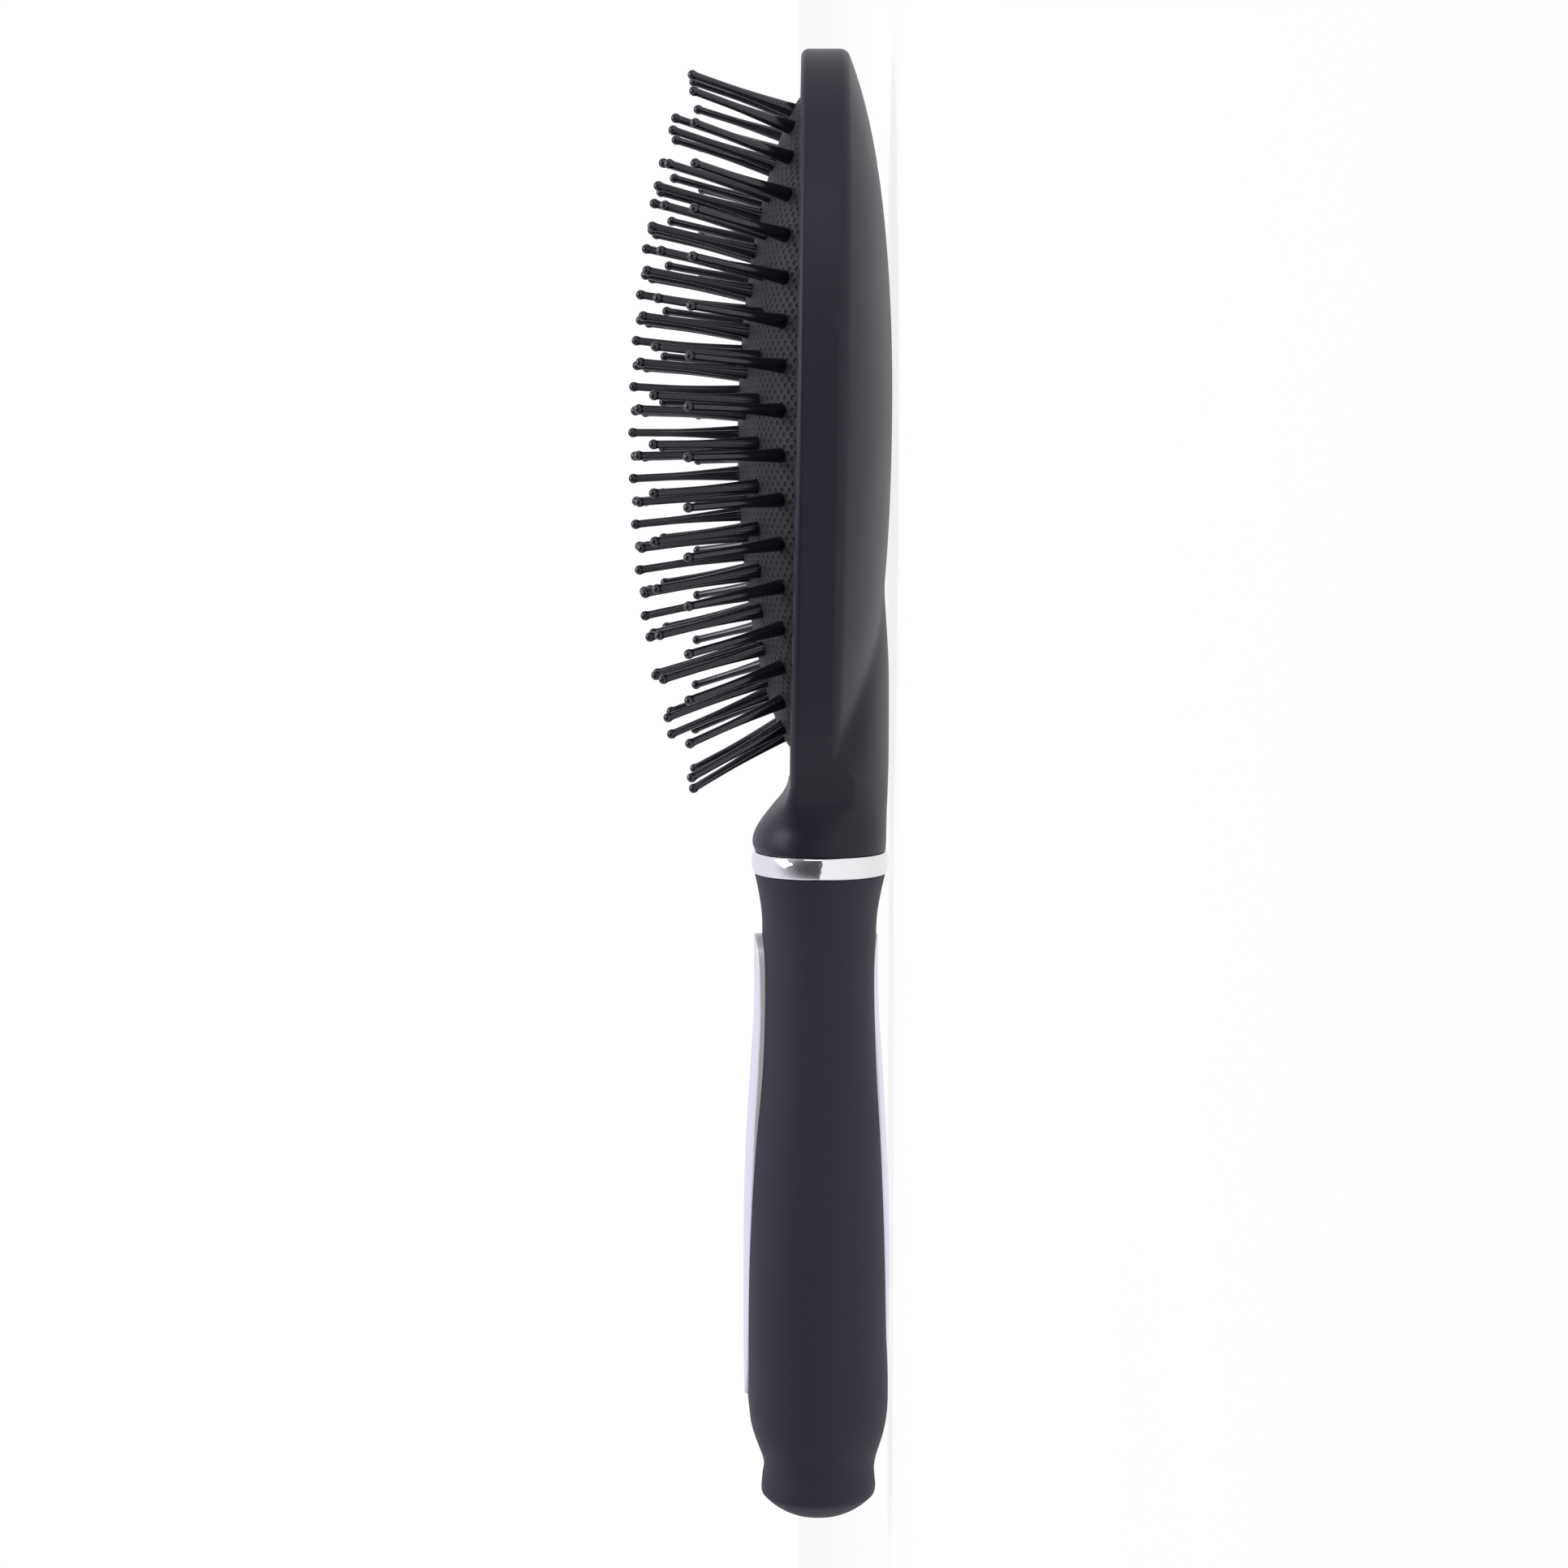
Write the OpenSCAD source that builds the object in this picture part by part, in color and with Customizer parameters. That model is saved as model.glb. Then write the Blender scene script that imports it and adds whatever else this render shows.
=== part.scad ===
// Cushioned paddle brush lying on its back: X runs along the brush toward the
// tip of the head, Y across it, and Z up, the way the pins point.
// The origin is midway along the brush, on the surface that it lies on.

/* [Head] */
// Length of the head's oval, part of it under the neck
head_len = 124.3; // [120:0.1:128]
// Width of the head
head_w = 66; // [62:1:72]
// Height of the head's straight side wall
wall_h = 7.3; // [6.5:0.05:8.5]
// How far the crowned back stands out from the side wall
crown_depth = 8.3; // [7.5:0.05:9]
// Thickness of the back behind the air chamber
back_wall = 2.4; // [2:0.1:3]
// Lean of the head's face toward the tip, in degrees
head_lean = 0.9; // [0:0.1:1.5]

/* [Cushion] */
// Length of the rubber cushion where it leaves the head
pad_len = 105.6; // [102:0.2:107]
// Width of the rubber cushion where it leaves the head
pad_w = 53.2; // [50:0.2:54]
// Height of the cushion's dome
dome_h = 9.9; // [8.5:0.1:10.5]
// Thickness of the rubber
membrane = 1.2; // [1:0.1:1.4]

/* [Pins] */
// Length of a pin above the cushion
pin_len = 17.7; // [15:0.1:18]
// Diameter of a pin's shaft
pin_d = 1.25; // [1.1:0.05:1.5]
// Diameter of the ball at a pin's tip
ball_d = 1.6; // [1.5:0.05:1.9]
// Diameter of a pin where it leaves the cushion
root_d = 2.4; // [1.9:0.05:2.4]
// Length of the cone between a pin's root and its shaft
flare_len = 9; // [3:0.5:12]
// Diameter of the button that holds a pin under the rubber
button_d = 2.5; // [2.4:0.05:2.6]
// Distance from the cushion's edge to the outer ring of pins
edge_gap = 2.5; // [2.3:0.1:2.8]
// Distance from each ring of pins to the next
ring_gap = 6.7; // [6.5:0.05:6.8]
// Lean of the pins at the two ends of the cushion, as a slope
fan_len = 0.43; // [0.3:0.01:0.5]
// How far the pins at both ends lean back toward the handle besides, as a slope
fan_back = 0.2; // [0:0.01:0.22]
// Share of the dome's slope that the pins follow across the brush
fan_wid = 0.85; // [0.8:0.01:0.95]

/* [Ring] */
// Length of the bright ring between neck and handle
ring_len = 3.5; // [3:0.1:4]
// How far the ring's waist stands out past its edges
ring_bulge = 0.35; // [0.2:0.05:0.5]

/* [Handle] */
// Depth of the recesses that hold the inlays
inlay_seat = 1.3; // [1.1:0.1:1.5]
// Thickness of the soft grip over the rigid core
grip_wall = 2.6; // [2.4:0.1:2.8]
// Radius of the hanging hole
hole_r = 2.6; // [2:0.1:3]

/* [Hidden] */

body_black = [0.20, 0.19, 0.22];
rubber_grey = [0.29, 0.29, 0.31];
pin_black = [0.06, 0.06, 0.07];
inlay_silver = [0.80, 0.79, 0.89];
ring_chrome = [0.90, 0.90, 0.92];
core_black = [0.12, 0.12, 0.13];

$fn = 48;
around = 56;
handle_around = 40;
fit_gap = 0.15;

// Places along the brush
brush_end = -119.3;
head_x = 57.85;
pad_shift = 2.15;
neck_end = -9;
grip_top = neck_end - ring_len;
inlay_x0 = -99;
inlay_x1 = -22.6;
core_x0 = -98;
tang_x0 = -50;
hole_x = -111.3;

// Radii at the foot, middle and head of each inlay, and how much narrower than the
// handle its face's section is
front_radii = [5, 6.6, 4.6];
back_radii = [3.9, 5, 3.7];
front_narrower = 1;
back_narrower = 3;

// The head's oval and crown
oval_power = 2.05;
crown_share = 0.75;
crown_power = 1.1;
edge_power = 3.2;
dome_power = 0.7;
section_power = 2.2;
head_a = head_len / 2;
head_b = head_w / 2;
pad_a = pad_len / 2;
pad_b = pad_w / 2;
lip = 1.2;

// The groove that holds the cushion's bead
mouth_gap = 0.1;
bead_out = 1.3;
bead_h = 1.5;
bead_top = wall_h - 1.3;
ledge_z = bead_top - bead_h - 2 * mouth_gap;
ledge_in = 1.5;
pad_z = wall_h - 0.6;

// Buttons under the rubber
button_drop = membrane + 0.65;
button_h = 0.7;
pin_hole_gap = 0.2;

// The tang that joins the head to the handle
tang_w = 13;
tang_t = 9;
tang_round = 2;
tang_z = 11.6;
ring_z = 11.57;

// Outline of the neck: place, back, front, half width
NECK = [
    [-9, 0.9, 22.1, 13.8],
    [-7.6, 0.8, 22.6, 13.8],
    [-6.2, 0.78, 22.4, 13.7],
    [-4.9, 0.75, 21.8, 13.6],
    [-3.3, 0.72, 20.7, 13.6],
    [-1.6, 0.68, 19.3, 13.8],
    [0, 0.6, 17.8, 14.3],
    [1.3, 0.56, 16.9, 15.2],
    [2.6, 0.52, 16.3, 16.3],
    [5.5, 0.45, 15.9, 18],
    [10, 0.42, 15.4, 19.4],
    [15.5, 0.42, 14.9, 17.7],
    [21.5, 0.47, 14.3, 15],
    [28.5, 0.85, 13, 9.5],
    [33.5, 1.3, 12, 4],
    [35.5, 1.7, 11, 1],
];

// Outline of the handle: place, half thickness, half width, middle height
HANDLE = [
    [-120, 9.2, 11.6, 11.85],
    [-114.5, 9.42, 11.8, 11.8],
    [-113.2, 9.5, 11.8, 11.72],
    [-110.6, 9.25, 11.6, 11.62],
    [-109.1, 9.4, 11.9, 11.65],
    [-107.7, 9.86, 12.4, 11.7],
    [-105.7, 10.55, 13.2, 11.75],
    [-103.6, 11.1, 13.8, 11.8],
    [-101.5, 11.38, 14.2, 11.8],
    [-98.9, 11.55, 14.5, 11.87],
    [-89.1, 11.7, 14.9, 12.1],
    [-73.7, 11.6, 14.9, 12.2],
    [-58.5, 11, 14.2, 12.1],
    [-43.4, 9.85, 13.2, 11.85],
    [-30.3, 9.35, 12.4, 11.8],
    [-21.8, 9.32, 12.1, 11.7],
    [-19, 9.47, 12.3, 11.65],
    [-16.5, 9.85, 12.7, 11.62],
    [-14.5, 10.25, 13.2, 11.6],
    [-12.5, 10.72, 13.8, 11.58],
];

// Faces of the inlays: place, height from the handle's middle
FRONT_FACE = [
    [-103, 12.1], [-97, 12.12], [-83, 12], [-70, 11.92], [-56, 11.65], [-43, 11.05],
    [-35, 10.6], [-24, 10.6], [-18, 10.6],
];
BACK_FACE = [
    [-103, 11.5], [-97, 11.6], [-83, 12.07], [-70, 12.08], [-56, 11.42], [-43, 10.49],
    [-35, 9.9], [-24, 9.6], [-18, 9.55],
];

// ---- curves ----

function span_of(table, x, i = 0) =
    i >= len(table) - 2 || x < table[i + 1][0] ? i : span_of(table, x, i + 1);

function slope_at(table, i, c) =
    let (a = max(i - 1, 0), b = min(i + 1, len(table) - 1))
    (table[b][c] - table[a][c]) / (table[b][0] - table[a][0]);

// A smooth curve through column c of an outline table
function smooth(table, x, c) =
    let (
        i = span_of(table, x),
        h = table[i + 1][0] - table[i][0],
        s = (x - table[i][0]) / h,
        m0 = slope_at(table, i, c) * h,
        m1 = slope_at(table, i + 1, c) * h,
        p0 = table[i][c],
        p1 = table[i + 1][c]
    )
    p0 * (1 - s) * (1 - s) * (1 + 2 * s) + m0 * s * (1 - s) * (1 - s)
    + p1 * s * s * (3 - 2 * s) - m1 * s * s * (1 - s);

// A point on an oval of half sizes 1 and 1
function unit_oval(angle, power) = [
    sign(cos(angle)) * pow(abs(cos(angle)), 2 / power),
    sign(sin(angle)) * pow(abs(sin(angle)), 2 / power),
];

// Share of a crown's height, from 1 at the middle of its oval to 0 at the edge.
// q is the square of how far out a point is. The back ends at an angle, the dome upright.
function back_crown(q) = 1 - crown_share * pow(q, crown_power) - (1 - crown_share) * pow(q, edge_power);

function dome_crown(q) = pow(max(1 - q, 0), dome_power);

// ---- solids from stacked rings ----

module skin(rings) {
    n = len(rings[0]);
    last = len(rings) - 1;
    points = [for (ring = rings) for (p = ring) p];
    sides = [
        for (k = [0:last - 1]) for (i = [0:n - 1])
            [k * n + i, (k + 1) * n + i, (k + 1) * n + (i + 1) % n, k * n + (i + 1) % n]
    ];
    bottom = [[for (i = [0:n - 1]) i]];
    top = [[for (i = [n - 1:-1:0]) last * n + i]];
    polyhedron(points, concat(bottom, sides, top), convexity = 6);
}

// Ovals stacked in Z, each level given as half length, half width, height
module oval_stack(levels) {
    skin([
        for (level = levels) [
            for (i = [0:around - 1])
                let (p = unit_oval(360 * i / around, oval_power))
                [level[0] * p[0], level[1] * p[1], level[2]]
        ]
    ]);
}

// One ring across the brush, given by its middle height and half sizes
function cross_ring(x, middle, half_t, half_w, sides = handle_around) = [
    for (i = [0:sides - 1])
        let (p = unit_oval(360 * i / sides, section_power))
        [x, half_w * p[0], middle + half_t * p[1]]
];

// ---- head and cushion shapes, in the head's own frame ----

// The head leans, and its crown's lowest point rests on the surface
crown_low = min([
    for (u = [0:0.5:15])
        -crown_depth * back_crown(pow(u / head_a, 2)) * cos(head_lean) - u * sin(head_lean)
]);

module in_head_frame() {
    translate([head_x, 0, -crown_low]) rotate([0, head_lean, 0]) children();
}

crown_steps = [0.05, 0.2, 0.35, 0.5, 0.63, 0.75, 0.84, 0.91, 0.96, 0.99];

function back_levels(a, b, depth, z) = [
    for (r = crown_steps) [a * r, b * r, z - depth * back_crown(r * r)]
];

function dome_levels(a, b, height, z) = [
    for (r = crown_steps) [a * r, b * r, z + height * dome_crown(r * r)]
];

function reversed(list) = [for (i = [len(list) - 1:-1:0]) list[i]];

function dome_q(u, v) = pow(u / pad_a, 2) + pow(v / pad_b, 2);

function dome_z(u, v) = pad_z + dome_h * dome_crown(dome_q(u, v));

// How steeply the dome falls away across the brush at a point
function dome_fall(u, v) =
    2 * dome_h * dome_power * pow(1 - dome_q(u, v), dome_power - 1) * v / pow(pad_b, 2);

// The way a pin points. The lean back grows toward both ends, most of all by the handle.
function pin_way(u, v) =
    let (s = u / pad_a)
    [fan_len * s - fan_back * pow(s, 6) * (1 - 0.45 * s), fan_wid * dome_fall(u, v), 1];

// ---- pins ----

// Distance round an oval at every step of its angle, for even spacing
function round_table(a, b, steps = 90) =
    let (points = [
        for (i = [0:steps])
            let (p = unit_oval(360 * i / steps, oval_power)) [a * p[0], b * p[1]]
    ])
    [for (s = 0, i = 0; i <= steps; s = s + (i < steps ? norm(points[i + 1] - points[i]) : 0),
        i = i + 1) [s, 360 * i / steps]];

// Feet of the pins of one ring, evenly spaced round its oval
function ring_feet(inset, count, start) =
    let (
        a = pad_a - inset,
        b = pad_b - inset,
        table = round_table(a, b),
        round_len = table[len(table) - 1][0]
    )
    [
        for (i = [0:count - 1])
            let (p = unit_oval(lookup(round_len * (i + start) / count, table), oval_power))
            [a * p[0], b * p[1]]
    ];

// Two straight rows along the middle, half a pitch apart
centre_pitch = 6.45;
centre_half = 3.5;
centre_first = 30.7;
centre_count = 10;
centre_feet = [
    for (i = [0:centre_count - 1]) for (side = [-1, 1])
        [centre_first - centre_pitch * (i + (side + 1) / 4), side * centre_half]
];

outer_feet = ring_feet(edge_gap, 35, 0.5);
second_feet = ring_feet(edge_gap + ring_gap, 30, 0);
third_feet = ring_feet(edge_gap + 2 * ring_gap, 25, 0);
all_feet = concat(outer_feet, second_feet, third_feet, centre_feet);

// Stands children on the dome at a foot, pointing the way its pin points
module at_foot(foot) {
    way = pin_way(foot[0], foot[1]);
    turn = atan2(way[1], way[0]);
    tilt = atan(norm([way[0], way[1]]));
    translate([pad_shift + foot[0], foot[1], dome_z(foot[0], foot[1])])
        rotate([0, 0, turn])
            rotate([0, tilt, 0])
                rotate([0, 0, -turn])
                    children();
}

module pin() {
    shaft_top = pin_len - ball_d / 2;
    translate([0, 0, -button_drop - button_h]) cylinder(h = button_h, r = button_d / 2);
    translate([0, 0, -button_drop]) cylinder(h = button_drop, r = root_d / 2);
    cylinder(h = flare_len, r1 = root_d / 2, r2 = pin_d / 2);
    translate([0, 0, flare_len]) cylinder(h = shaft_top - flare_len, r = pin_d / 2);
    translate([0, 0, shaft_top]) sphere(r = ball_d / 2);
}

module pins(feet) {
    color(pin_black) in_head_frame() for (foot = feet) at_foot(foot) pin();
}

module pins_outer_ring() { pins(outer_feet); }
module pins_second_ring() { pins(second_feet); }
module pins_third_ring() { pins(third_feet); }
module pins_centre_rows() { pins(centre_feet); }

// ---- head ----

function neck_ring(x) =
    let (back = smooth(NECK, x, 1), front = smooth(NECK, x, 2))
    cross_ring(x, (back + front) / 2, (front - back) / 2, smooth(NECK, x, 3), around);

module neck() {
    skin([
        for (x = [-9, -8.3, -7.6, -6.9, -6.2, -5.5, -4.9, -4.1, -3.3, -2.4, -1.6, -0.8, 0, 0.7,
            1.3, 2.6, 4, 5.5, 7.6, 10, 12.8, 15.5, 18.5, 21.5, 25, 28.5, 31, 33.5, 35.5]) neck_ring(x)
    ]);
}

module head_body() {
    oval_stack(concat(
        back_levels(head_a, head_b, crown_depth, 0),
        [
            [head_a, head_b, 0.1],
            [head_a, head_b, wall_h - lip],
            [head_a - lip * 0.3, head_b - lip * 0.3, wall_h - lip * 0.3],
            [head_a - lip, head_b - lip, wall_h],
        ]
    ));
}

// The air chamber, the ledge, the bead's groove and the mouth
module chamber() {
    floor_a = pad_a - ledge_in;
    floor_b = pad_b - ledge_in;
    groove = bead_out + mouth_gap;
    translate([pad_shift, 0, 0]) oval_stack(concat(
        back_levels(floor_a, floor_b, crown_depth - back_wall, 0.6),
        [
            [floor_a, floor_b, 0.8],
            [floor_a, floor_b, ledge_z],
            [pad_a + groove, pad_b + groove, ledge_z + 0.01],
            [pad_a + groove, pad_b + groove, bead_top + mouth_gap],
            [pad_a + mouth_gap, pad_b + mouth_gap, bead_top + mouth_gap + 0.01],
            [pad_a + mouth_gap, pad_b + mouth_gap, wall_h + 1],
        ]
    ));
}

// The tang's section, grown by a gap for the holes that take it
module tang_section(gap) {
    half_w = tang_w / 2 - tang_round;
    half_t = tang_t / 2 - tang_round;
    square([2 * (half_t + tang_round + gap), 2 * half_w], center = true);
    square([2 * half_t, 2 * (half_w + tang_round + gap)], center = true);
    for (s = [-1, 1]) for (t = [-1, 1])
        translate([s * half_t, t * half_w]) circle(r = tang_round + gap);
}

module tang(x0, x1, gap) {
    translate([x0, 0, tang_z])
        rotate([0, 90, 0])
            linear_extrude(height = x1 - x0) tang_section(gap);
}

module head_shell() {
    color(body_black) {
        difference() {
            union() {
                in_head_frame() head_body();
                neck();
            }
            in_head_frame() chamber();
        }
        tang(tang_x0, neck_end, 0);
    }
}

// ---- cushion ----

module cushion_outside() {
    groove = bead_out;
    oval_stack(concat(
        [
            [pad_a + groove, pad_b + groove, bead_top - bead_h],
            [pad_a + groove, pad_b + groove, bead_top],
            [pad_a, pad_b, bead_top + 0.01],
            [pad_a, pad_b, pad_z],
        ],
        reversed(dome_levels(pad_a, pad_b, dome_h, pad_z))
    ));
}

module cushion_inside() {
    inner_a = pad_a - membrane;
    inner_b = pad_b - membrane;
    oval_stack(concat(
        [[inner_a, inner_b, bead_top - bead_h - 1], [inner_a, inner_b, pad_z - 0.2]],
        reversed(dome_levels(inner_a, inner_b, dome_h - membrane, pad_z))
    ));
}

module air_cushion() {
    hole = root_d / 2 + pin_hole_gap;
    color(rubber_grey) in_head_frame() difference() {
        translate([pad_shift, 0, 0]) cushion_outside();
        translate([pad_shift, 0, 0]) cushion_inside();
        for (foot = all_feet) at_foot(foot)
            translate([0, 0, -button_drop - 0.4]) cylinder(h = button_drop + 1.8, r = hole, $fn = 16);
    }
}

// ---- ring ----

module bright_ring() {
    edge = smooth(HANDLE, grip_top, 1);
    edge_w = smooth(HANDLE, grip_top, 2);
    color(ring_chrome) difference() {
        skin([
            for (i = [0:6])
                let (s = i / 6, out = ring_bulge * sin(180 * s) + 0.1)
                cross_ring(grip_top + ring_len * s, ring_z, edge + out, edge_w + out, around)
        ]);
        tang(grip_top - 1, neck_end + 1, fit_gap);
    }
}

// ---- handle ----

// The end of the handle is rounded, and closes over its last few millimetres
end_r = 12.4;
end_half = 9.4;

function end_share(x) =
    let (d = min(max(x - brush_end, 0.01), end_r))
    min(1, sqrt(2 * end_r * d - d * d) / end_half);

function handle_ring(x, out) = cross_ring(
    x, smooth(HANDLE, x, 3),
    (smooth(HANDLE, x, 1) + out) * end_share(x),
    (smooth(HANDLE, x, 2) + out) * end_share(x)
);

handle_stops = [
    -119.3, -119.1, -118.6, -117.8, -116.8, -115.8, -115, -114.2, -113.2, -112, -110.6, -109.1,
    -107.7, -106.7, -105.7, -104.6, -103.6, -101.5, -98.9, -94, -89.1, -81, -73.7, -66, -58.5,
    -51, -43.4, -36.5, -30.3, -26, -21.8, -19, -16.5, -14.5, -12.5,
];

module handle_form(out, x0, x1) {
    skin([
        for (x = concat([x0], [for (s = handle_stops) if (s > x0 && s < x1) s], [x1]))
            handle_ring(x, out)
    ]);
}

// Plan of an inlay: a long leaf, given by the radii of its foot, middle and head
module inlay_plan(radii, gap) {
    hull() {
        translate([inlay_x0 + radii[0], 0]) circle(r = radii[0] + gap);
        translate([(inlay_x0 + inlay_x1) / 2, 0]) circle(r = radii[1] + gap);
        translate([inlay_x1 - radii[2], 0]) circle(r = radii[2] + gap);
    }
}

// Everything over or under the handle within an inlay's plan
module inlay_column(side, radii, gap) {
    translate([0, 0, side > 0 ? 12 : -10]) linear_extrude(height = 22) inlay_plan(radii, gap);
}

// The form that an inlay's face follows, a little narrower than the handle
module inlay_outside(face, narrower) {
    skin([
        for (x = concat([inlay_x0 - 2], [for (s = handle_stops) if (s > inlay_x0 && s < inlay_x1) s],
            [inlay_x1 + 2]))
            cross_ring(x, smooth(HANDLE, x, 3), smooth(face, x, 1),
                smooth(HANDLE, x, 2) - narrower)
    ]);
}

module inlay(side, face, radii, narrower) {
    color(inlay_silver) difference() {
        intersection() {
            inlay_outside(face, narrower);
            inlay_column(side, radii, 0);
        }
        handle_form(-inlay_seat, inlay_x0 - 4, inlay_x1 + 4);
    }
}

module front_inlay() { inlay(1, FRONT_FACE, front_radii, front_narrower); }
module back_inlay() { inlay(-1, BACK_FACE, back_radii, back_narrower); }

module inlay_seat_cut(side, radii) {
    difference() {
        inlay_column(side, radii, 0.1);
        handle_form(-inlay_seat - 0.1, inlay_x0 - 4, inlay_x1 + 4);
    }
}

module handle_grip() {
    color(body_black) difference() {
        handle_form(0, brush_end, grip_top);
        handle_form(-grip_wall, core_x0 - 0.5, grip_top + 0.01);
        inlay_seat_cut(1, front_radii);
        inlay_seat_cut(-1, back_radii);
        translate([hole_x, 0, -1]) cylinder(h = 26, r = hole_r);
    }
}

module handle_core() {
    color(core_black) difference() {
        handle_form(-grip_wall - 0.1, core_x0, grip_top - 0.3);
        tang(tang_x0 - 0.5, grip_top + 1, fit_gap);
    }
}

head_shell();
air_cushion();
pins_outer_ring();
pins_second_ring();
pins_third_ring();
pins_centre_rows();
bright_ring();
handle_core();
handle_grip();
front_inlay();
back_inlay();
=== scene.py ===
"""Looks of the paddle brush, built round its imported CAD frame.

The brush lies on its back: X runs along it toward the tip of the head, Y across it, Z up.
Shapes are worked out in millimetres, as on the object's drawing, and stored in metres.
"""
import math

import bmesh
import bpy
import numpy as np
from mathutils import Matrix, Vector


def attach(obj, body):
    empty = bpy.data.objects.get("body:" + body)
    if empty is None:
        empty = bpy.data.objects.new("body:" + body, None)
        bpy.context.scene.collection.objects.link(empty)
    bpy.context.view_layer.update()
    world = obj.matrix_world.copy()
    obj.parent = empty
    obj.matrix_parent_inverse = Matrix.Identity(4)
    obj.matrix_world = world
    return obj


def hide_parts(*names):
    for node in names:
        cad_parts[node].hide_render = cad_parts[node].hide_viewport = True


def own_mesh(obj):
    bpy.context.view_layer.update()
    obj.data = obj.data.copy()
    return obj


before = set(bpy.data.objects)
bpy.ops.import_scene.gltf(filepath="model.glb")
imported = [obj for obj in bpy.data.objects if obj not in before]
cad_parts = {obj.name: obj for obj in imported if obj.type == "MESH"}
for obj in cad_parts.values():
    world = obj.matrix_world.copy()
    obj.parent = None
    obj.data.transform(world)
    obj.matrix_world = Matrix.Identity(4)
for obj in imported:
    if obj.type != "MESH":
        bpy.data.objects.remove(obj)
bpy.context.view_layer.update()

MM = 0.001

# ---------------------------------------------------------------- driving sizes, mm

HEAD_X = 57.85           # middle of the head's oval
HEAD_A, HEAD_B = 62.15, 33.0
OVAL_POWER = 2.05
WALL_H = 7.3
CROWN_DEPTH = 8.3
CROWN_SHARE, CROWN_POWER, EDGE_POWER = 0.75, 1.1, 3.2
LEAN = math.radians(0.9)
LIP = 1.2                # radius of the rim's rounded edge
CREASE = 1.0             # radius of the edge between side wall and crown

PAD_X = HEAD_X + 2.15
PAD_A, PAD_B = 52.8, 26.6
PAD_SINK = 0.6           # how far under the rim the cushion leaves the head
DOME_H = 9.9
DOME_POWER = 0.7
MEMBRANE = 1.2

PIN_LEN = 17.7
PIN_R, BALL_R, ROOT_R = 0.625, 0.8, 1.2
FLARE = 9.0
EDGE_GAP, RING_GAP = 2.5, 6.7
FAN_LEN, FAN_BACK, FAN_WID = 0.43, 0.2, 0.85

NECK_END = -9.0
RING_LEN = 3.5
RING_MIDDLE = 11.57      # height of the ring's middle
RING_WALL = 1.6
TANG_MIDDLE = 11.8       # height of the tang's middle
TANG_END = -50.0
GRIP_TOP = NECK_END - RING_LEN
BRUSH_END = -119.3
END_RADIUS = 12.4        # radius of the handle's rounded end
END_CORNER = -115.0
SEAM_HEIGHT = 0.05       # parting line along the sides of the handle
DOT_ROW, DOT_PITCH, DOT_R = 0.95, 1.65, 0.46    # dimples of the cushion
SECTION_POWER = 2.2

# Outline of the neck: place, back, front, height of its widest line
NECK = np.array([
    [-9.0, 0.9, 22.1, 11.5],
    [-7.6, 0.8, 22.6, 11.4],
    [-6.2, 0.78, 22.4, 11.1],
    [-4.9, 0.75, 21.8, 10.8],
    [-3.3, 0.72, 20.7, 10.3],
    [-1.6, 0.68, 19.3, 9.8],
    [0.0, 0.6, 17.8, 9.45],
    [1.3, 0.56, 16.95, 9.3],
    [2.6, 0.52, 16.6, 9.25],
    [5.5, 0.45, 16.5, 9.2],
    [10.0, 0.42, 16.4, 9.12],
    [15.5, 0.42, 16.3, 9.04],
    [21.5, 0.47, 16.2, 8.95],
    [28.5, 0.85, 16.1, 8.85],
    [33.5, 1.3, 16.0, 8.77],
    [41.5, 2.6, 15.9, 8.65],
])
# Half width of the neck in plan, and of the fairing that it grows out of the back with
NECK_PLAN = np.array([[-9.0, 13.8], [-4.0, 13.7], [1.5, 13.8], [9.0, 13.9]])
FAIRING = np.array([[-9.0, 13.8], [-5.0, 13.75], [-2.5, 14.0], [0.0, 14.9], [2.5, 16.5],
                    [5.0, 18.3], [8.0, 19.5], [13.1, 19.2], [19.0, 18.2], [25.5, 14.8],
                    [33.5, 10.5], [41.5, 9.5]])
# Outline of the handle: place, half thickness, half width, middle height
HANDLE = np.array([
    [-117.0, 9.42, 11.8, 11.85],
    [-114.5, 9.42, 11.8, 11.8],
    [-113.2, 9.5, 11.8, 11.72],
    [-110.6, 9.25, 11.6, 11.62],
    [-109.1, 9.4, 11.9, 11.65],
    [-107.7, 9.86, 12.4, 11.7],
    [-105.7, 10.55, 13.2, 11.75],
    [-103.6, 11.1, 13.8, 11.8],
    [-101.5, 11.38, 14.2, 11.8],
    [-98.9, 11.55, 14.5, 11.87],
    [-89.1, 11.7, 14.9, 12.1],
    [-73.7, 11.6, 14.9, 12.2],
    [-58.5, 11.0, 14.2, 12.1],
    [-43.4, 9.85, 13.2, 11.85],
    [-30.3, 9.35, 12.4, 11.8],
    [-21.8, 9.32, 12.1, 11.7],
    [-19.0, 9.47, 12.3, 11.65],
    [-16.5, 9.85, 12.7, 11.62],
    [-14.5, 10.25, 13.2, 11.6],
    [-12.5, 10.72, 13.8, 11.58],
])
# Faces of the inlays: place, height from the handle's middle
FRONT_FACE = np.array([[-103, 12.1], [-97, 12.12], [-83, 12.0], [-70, 11.92], [-56, 11.65],
                       [-43, 11.05], [-35, 10.6], [-24, 10.6], [-18, 10.6]])
BACK_FACE = np.array([[-103, 11.5], [-97, 11.6], [-83, 12.07], [-70, 12.08], [-56, 11.42],
                      [-43, 10.49], [-35, 9.9], [-24, 9.6], [-18, 9.55]])
INLAY_X0, INLAY_X1 = -99.0, -22.6
# Half widths of each inlay at its ends and middle, and how much narrower than the handle
# its face's section is
FRONT_LEAF = (4.8, 6.6, 1.3)
BACK_LEAF = (3.8, 5.0, 3.0)
HOLE_X, HOLE_R = -111.3, 2.6

# ---------------------------------------------------------------- camera

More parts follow.
